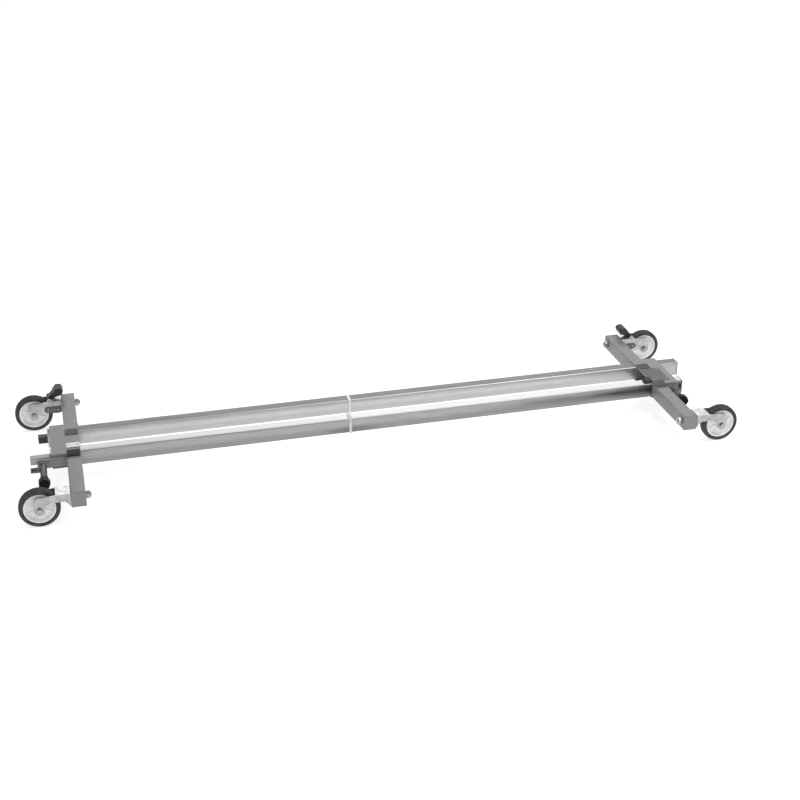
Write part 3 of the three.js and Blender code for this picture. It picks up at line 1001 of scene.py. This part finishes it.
def build_pedal_ridges(name, body, outward, reach, pin):
    """Grip ridges over the tread's slope and along its top."""
    bm = bmesh.new()
    start, end = Vector((-21.5, 0, 33.2)), Vector((-11.5, 0, 21.7))
    slope = (end - start).normalized()
    lift = Vector((-slope.z, 0, slope.x))
    slope_ridges = 5
    for i in range(slope_ridges):
        base = start.lerp(end, (i + 0.5) / slope_ridges)
        crest = base + lift
        corners = [base - slope * 0.9, base + slope * 0.9, crest + slope * 0.5, crest - slope * 0.5]
        pedal_part(bm, outward, [(c.x, c.z) for c in corners], reach)
    top_ridges, first, spacing = 4, -31.5, 3.4
    for i in range(top_ridges):
        x = first + i * spacing
        corners = [(x - 0.8, 33.6), (x + 0.8, 33.6), (x + 0.4, 34.0), (x - 0.4, 34.0)]
        pedal_part(bm, outward, corners, reach)
    piece(name, bm, "black_plastic", body, at=pin)


def build_pedal(name, side, outward):
    """A moulded foot pedal: tread, neck, brake heel, eye round the pin and grip ridges."""
    node = f"{name}_brake_pedal"
    body = f"{side}_brake"
    pin = centre(f"{name}_pedal_pin")
    low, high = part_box(node)
    half = (high.y - low.y) / 2
    tread = [(-35, 15), (-39, 26), (-33, 34), (-20, 34), (-10, 22.5), (-22, 11)]
    neck = [(-1, -6.5), (-9, 3), (-22, 9), (-25, 16), (-12, 24.5), (6, 4)]
    heel = [(-5, -4), (-4, -9.5), (1, -9.5), (6, -3)]
    bm = bmesh.new()
    pedal_part(bm, outward, tread, half)
    pedal_part(bm, outward, neck, 0.66 * half)
    pedal_part(bm, outward, heel, 0.8 * half)
    made = piece(f"{name}_pedal_skin", bm, "black_plastic", body, at=pin)
    add_bevel(made, 1.3 * MM, 3)
    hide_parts(node)

    eye, bore = 7.4 * MM, 3.2 * MM
    profile = [(bore, half), (eye - 0.8 * MM, half), (eye, half - 0.8 * MM)]
    bm = bmesh.new()
    lathe(bm, profile + [(r, -y) for r, y in reversed(profile)], 48)
    piece(f"{name}_pedal_eye", bm, "black_plastic", body, at=pin)
    build_pedal_ridges(f"{name}_pedal_ridges", body, outward, half - 3 * MM, pin)


def build_shade_straps(name, side, outward):
    """A dark steel strap on each outer side of a braked fork's neck, riveted on under the pedal: a dark
    sheet put where the neck lies in shade, so painted shade.

    Its outline and rivets are in millimetres: X outward from the strap's inner end, Z up from the floor.
    """
    low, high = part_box(f"{name}_fork")
    body = f"{side}_carriage"
    arm_low, arm_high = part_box(f"{name}_arm")
    start = (arm_high.x if outward > 0 else -arm_low.x) + 2 * MM
    thickness, sunk = 1.8 * MM, 0.3 * MM
    outline = [(0, 55), (5, 53), (30, 53), (44, 59), (44, 68), (38, 73), (0, 73)]
    rivets = ((7, 64), (35, 65))
    for label, face, way in (("near", low.y, -1), ("far", high.y, 1)):
        edges = sorted((face + way * thickness, face - way * sunk))
        bm = bmesh.new()
        prism(bm, [(outward * (start + x * MM), z * MM) for x, z in outline], *edges)
        cheek = piece(f"{name}_shade_strap_{label}", bm, "dark_steel", body)
        add_bevel(cheek, 0.4 * MM, 2)
        for i, (x, z) in enumerate(rivets):
            head = [(2.8, 0), (2.7, 0.6), (2.0, 1.3), (1.0, 1.6), (0, 1.7)]
            bm = bmesh.new()
            lathe(bm, [(r * MM, way * y * MM) for r, y in head], 20, closed=False)
            at = (outward * (start + x * MM), face + way * (thickness - 0.1 * MM), z * MM)
            piece(f"{name}_cheek_rivet_{label}_{i}", bm, "zinc", body, at=at)


def build_wheel_unit(side, end, outward):
    """A wheel with its fork, nuts and bolts; a far one also has a brake pedal and dark straps on its
    fork's neck that are painted shade.
    """
    name = f"{side}_{end}"
    body = f"{side}_carriage"
    at = centre(f"{name}_tyre")
    build_tyre(name, at)
    build_hub(name, at)
    soften_cad(f"{name}_fork", 0.7 * MM, "zinc")
    soften_cad(f"{name}_stem_nut", 0.6 * MM, "zinc")
    soften_cad(f"{name}_axle_nut", 0.5 * MM, "zinc")
    stem, axle = f"{name}_stem_bolt", f"{name}_axle_bolt"
    build_bolt(f"{stem}_skin", stem, "x", shank=6 * MM, flats=19 * MM, head_length=7.5 * MM, body=body)
    build_bolt(f"{axle}_skin", axle, "y", shank=4 * MM, flats=13 * MM, head_length=5.5 * MM, body=body)
    if end == "far":
        soften_cad(f"{name}_pedal_pin", 0.4 * MM, "zinc")
        build_pedal(name, side, outward)
        # dark straps put where the far fork's neck lies in shade: painted shade
        build_shade_straps(name, side, outward)


# ---------------------------------------------------------------- stage


def build_stage():
    """A wide white floor, an even sky and two softboxes."""
    bm = bmesh.new()
    half_width = 60
    bmesh.ops.create_grid(bm, x_segments=16, y_segments=16, size=half_width)
    mesh = bpy.data.meshes.new("studio_floor")
    bm.to_mesh(mesh)
    bm.free()
    floor = bpy.data.objects.new("studio_floor", mesh)
    bpy.context.scene.collection.objects.link(floor)
    mesh.materials.append(pale_floor("pale_floor"))

    world = bpy.data.worlds.new("studio")
    bpy.context.scene.world = world
    world.use_nodes = True
    background = world.node_tree.nodes["Background"]
    background.inputs["Color"].default_value = rgba((0.97, 0.985, 1.0))
    background.inputs["Strength"].default_value = 0.5

    def softbox(name, at, target, size, power):
        light = bpy.data.lights.new(name, "AREA")
        light.shape = "RECTANGLE"
        light.size, light.size_y = size
        light.energy = power
        lamp = bpy.data.objects.new(name, light)
        bpy.context.scene.collection.objects.link(lamp)
        lamp.location = at
        lamp.rotation_euler = (Vector(target) - Vector(at)).to_track_quat("-Z", "Y").to_euler()

    softbox("key_softbox", at=(1.5, -0.9, 2.8), target=(0.3, 0, 0.05), size=(2.6, 2.0), power=46)
    softbox("back_softbox", at=(0.6, 3.4, 2.0), target=(0, 0, 0.05), size=(4.4, 1.4), power=42)


def build_camera():
    """The photograph's view: from the near left, looking down along the beam to the right."""
    camera = bpy.data.cameras.new("camera")
    camera.lens = 62.6
    camera.sensor_width = 36
    holder = bpy.data.objects.new("camera", camera)
    bpy.context.scene.collection.objects.link(holder)
    holder.location = (-0.784, -3.256, 1.769)
    yaw, pitch, roll = math.radians(14.72), math.radians(26.46), math.radians(-0.12)
    look = Matrix.Rotation(-yaw, 4, "Z") @ Matrix.Rotation(math.pi / 2 - pitch, 4, "X")
    holder.rotation_euler = (look @ Matrix.Rotation(-roll, 4, "Z")).to_euler()
    bpy.context.scene.camera = holder


build_tubes()
for side_name, outward_sign in SIDES.items():
    build_carriage(side_name, outward_sign)
    for end_name in ENDS:
        build_wheel_unit(side_name, end_name, outward_sign)
build_stage()
build_camera()
bpy.context.scene.view_settings.view_transform = "Standard"
